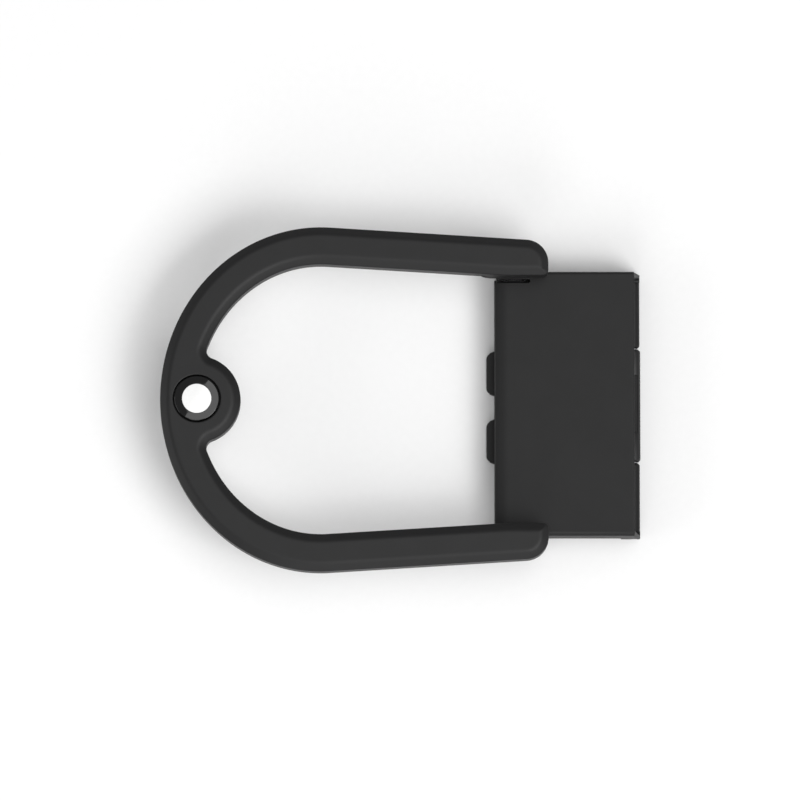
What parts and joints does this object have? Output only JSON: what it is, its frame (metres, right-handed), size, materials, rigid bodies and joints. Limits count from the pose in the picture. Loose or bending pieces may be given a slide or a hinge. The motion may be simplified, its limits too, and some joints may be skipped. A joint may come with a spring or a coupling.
{
  "type": "belt buckle",
  "caption": "Horseshoe belt buckle: a hinged rounded bow with an inward boss and a belt stud behind it, and a flat clamp housing with a toothed back flap for the strap end.",
  "frame": {"origin": "on the surface the buckle lies on, below the centre of its box; the housing's back is Z = 0", "axes": "+Z is the buckle's face, +X runs from the closed end of the bow to the strap mouth, Y is across the strap"},
  "size_m": [0.0688, 0.0496, 0.0123],
  "materials": {
    "black_coating": "matte black coated steel",
    "black_gloss": "polished black resin",
    "white_gloss": "polished white resin",
    "bare_steel": "turned steel",
    "washer_polymer": "natural polymer"
  },
  "bodies": {
    "housing": {"clamp_housing": "black_coating", "clamp_pin": "bare_steel"},
    "bow": {"frame_bow": "black_coating", "emblem_cap": "black_gloss", "emblem_dot": "white_gloss", "hook_stud": "black_coating", "stud_screw": "bare_steel", "hinge_pin_left": "bare_steel", "hinge_pin_right": "bare_steel", "hinge_washer_left": "washer_polymer", "hinge_washer_right": "washer_polymer"},
    "flap": {"clamp_flap": "black_coating"}
  },
  "joints": [
    {"name": "bow_hinge", "type": "hinge", "parent": "housing", "child": "bow", "pos_m": [0.01618, 0, 0.0039], "axis": [0, 1, 0], "range_deg": [-25, 22]},
    {"name": "flap_hinge", "type": "hinge", "parent": "housing", "child": "flap", "pos_m": [0.0335, 0, 0.00095], "axis": [0, -1, 0], "range_deg": [0, 100]}
  ]
}
